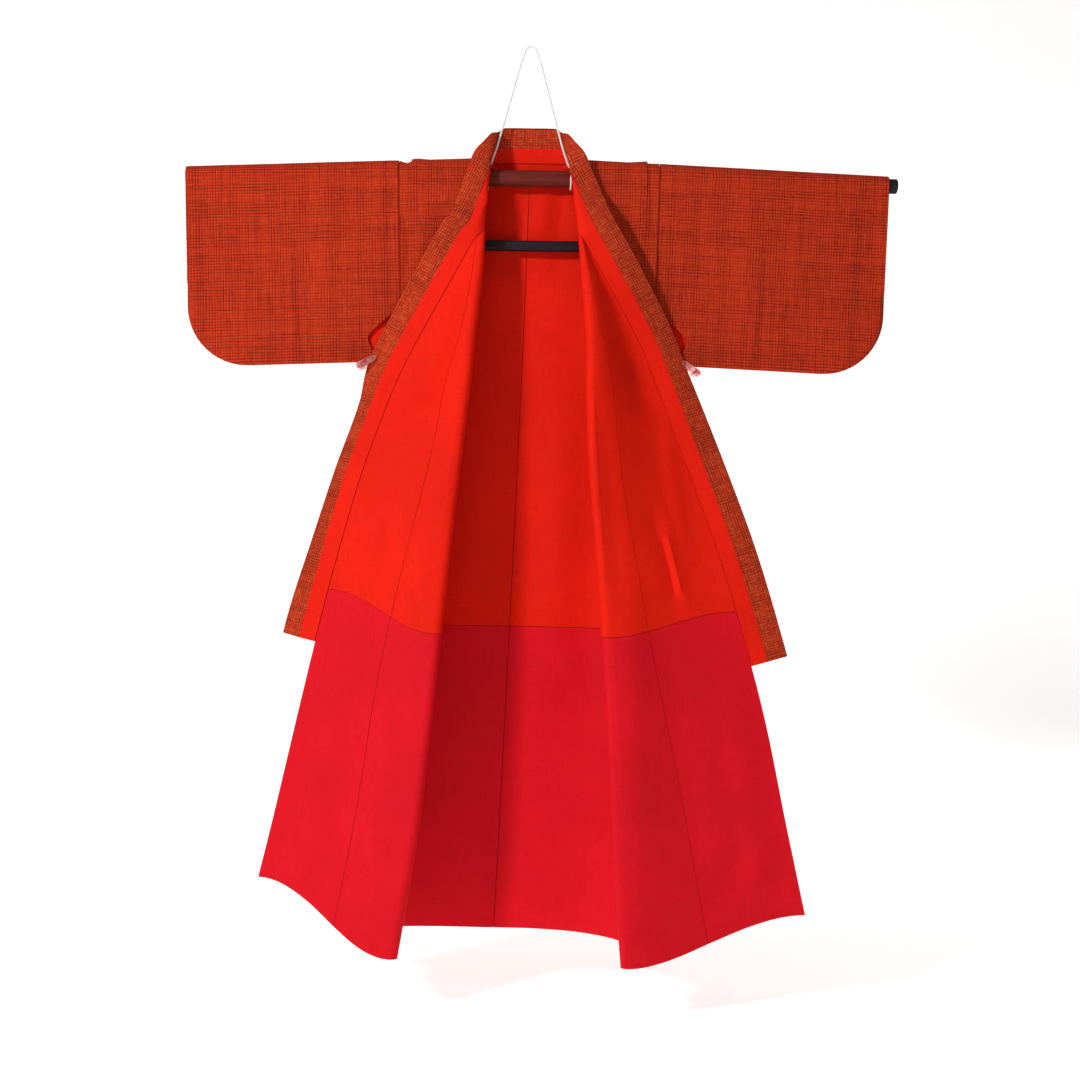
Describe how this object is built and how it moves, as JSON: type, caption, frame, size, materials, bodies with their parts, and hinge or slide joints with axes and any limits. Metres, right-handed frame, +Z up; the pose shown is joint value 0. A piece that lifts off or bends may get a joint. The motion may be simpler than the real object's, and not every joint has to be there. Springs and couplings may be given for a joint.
{
  "type": "lined kimono on a hanging rod",
  "caption": "A lined child's kimono of red check cloth, hung on a rod through its sleeves, with the fronts turned open and clipped so that the red lining shows.",
  "frame": {"origin": "the bend of the white hanging cord over its hook, 198 mm above the axis of the rod", "axes": "+Z up, +X to the right of a viewer who faces the open fronts, -Y towards that viewer"},
  "size_m": [1.0651, 0.2011, 1.3368],
  "materials": {
    "check_cloth": "matt woven check",
    "red_lining": "soft sheen plain weave",
    "crimson_lining": "soft sheen plain weave",
    "brown_lacquer": "satin lacquer",
    "black_lacquer": "gloss lacquer",
    "white_cord": "twisted cord",
    "clip_plastic": "gloss",
    "spring_steel": "bright"
  },
  "bodies": {
    "root": {"migoro_left": "check_cloth", "okumi_left": "check_cloth", "sleeve_left": "check_cloth", "doura_left": "red_lining", "doura_okumi_left": "red_lining", "sleeve_lining_left": "red_lining", "hakkake_left": "crimson_lining", "hakkake_okumi_left": "crimson_lining", "rod_cap_left": "black_lacquer", "strut_left": "black_lacquer", "clip_front_left": "clip_plastic", "clip_back_left": "clip_plastic", "clip_spring_left": "spring_steel", "migoro_right": "check_cloth", "okumi_right": "check_cloth", "sleeve_right": "check_cloth", "doura_right": "red_lining", "doura_okumi_right": "red_lining", "sleeve_lining_right": "red_lining", "hakkake_right": "crimson_lining", "hakkake_okumi_right": "crimson_lining", "rod_cap_right": "black_lacquer", "strut_right": "black_lacquer", "clip_front_right": "clip_plastic", "clip_back_right": "clip_plastic", "clip_spring_right": "spring_steel", "eri": "check_cloth", "ura_eri": "red_lining", "rod": "brown_lacquer", "lower_bar": "black_lacquer", "hanging_cord": "white_cord"}
  },
  "joints": []
}
